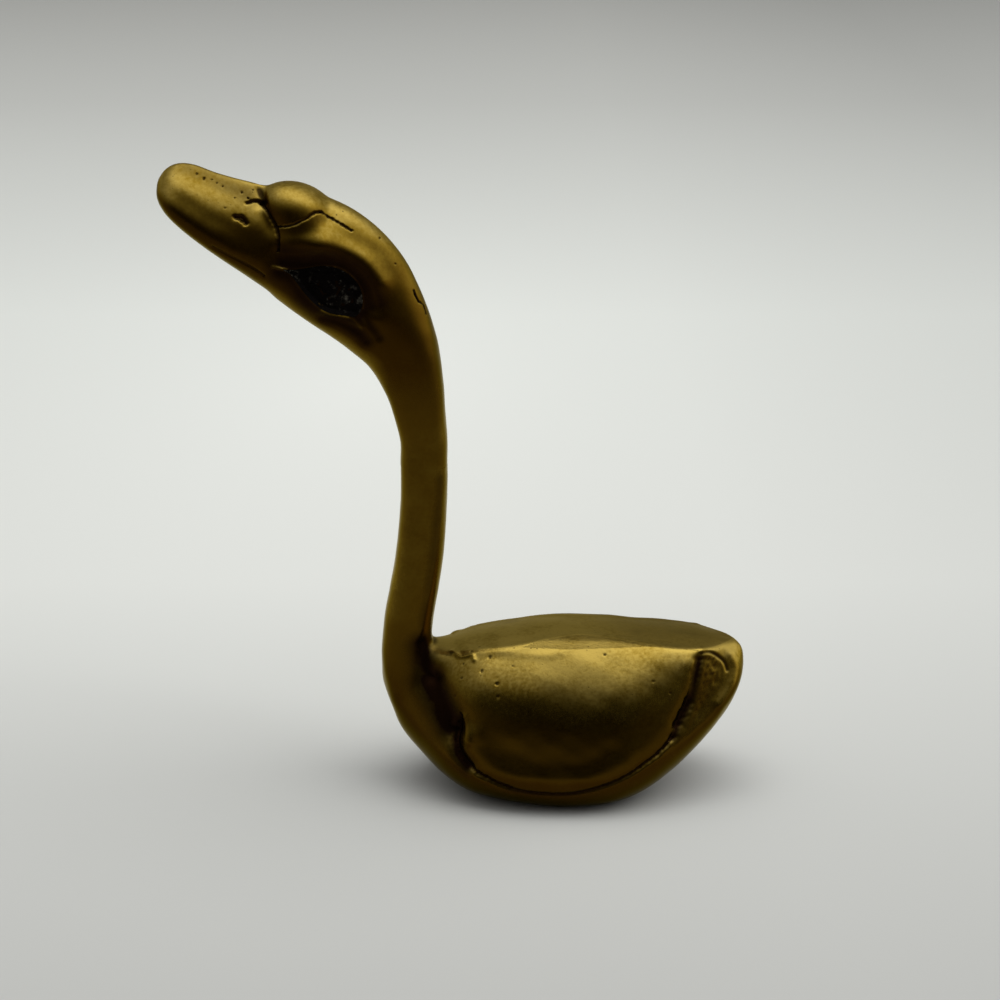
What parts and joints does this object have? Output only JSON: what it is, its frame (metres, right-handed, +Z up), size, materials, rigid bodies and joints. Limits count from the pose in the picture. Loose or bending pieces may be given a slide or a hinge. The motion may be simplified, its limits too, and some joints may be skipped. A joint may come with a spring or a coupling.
{
  "type": "goose figurine",
  "caption": "Small cast brass goose ornament standing on a flat base, with a tall curved neck, a raised head with a forehead knob, and folded wings let into its flanks.",
  "frame": {"origin": "middle of the bottom of the bounding box, on the surface the figure stands on", "axes": "+Z up, -X the way the bird faces, -Y the bird's left side, which the picture shows"},
  "size_m": [0.1036, 0.0382, 0.1152],
  "materials": {
    "body_brass": "aged satin cast brass, brown in the hollows",
    "wing_brass": "aged satin cast brass, rubbed bright on top",
    "neck_brass": "aged satin cast brass, brown and lightly filed",
    "head_brass": "aged satin cast brass, brown round the eyes",
    "bill_brass": "aged satin cast brass, rubbed bright on top and pitted",
    "plate_brass": "dull brass sheet",
    "dowel_brass": "drawn brass rod",
    "eye_pitch": "rough black pitch"
  },
  "bodies": {
    "root": {"body": "body_brass", "left_wing": "wing_brass", "right_wing": "wing_brass", "base_plate": "plate_brass", "neck": "neck_brass", "neck_dowel": "dowel_brass", "head": "head_brass", "bill": "bill_brass", "left_eye": "eye_pitch", "right_eye": "eye_pitch"}
  },
  "joints": []
}
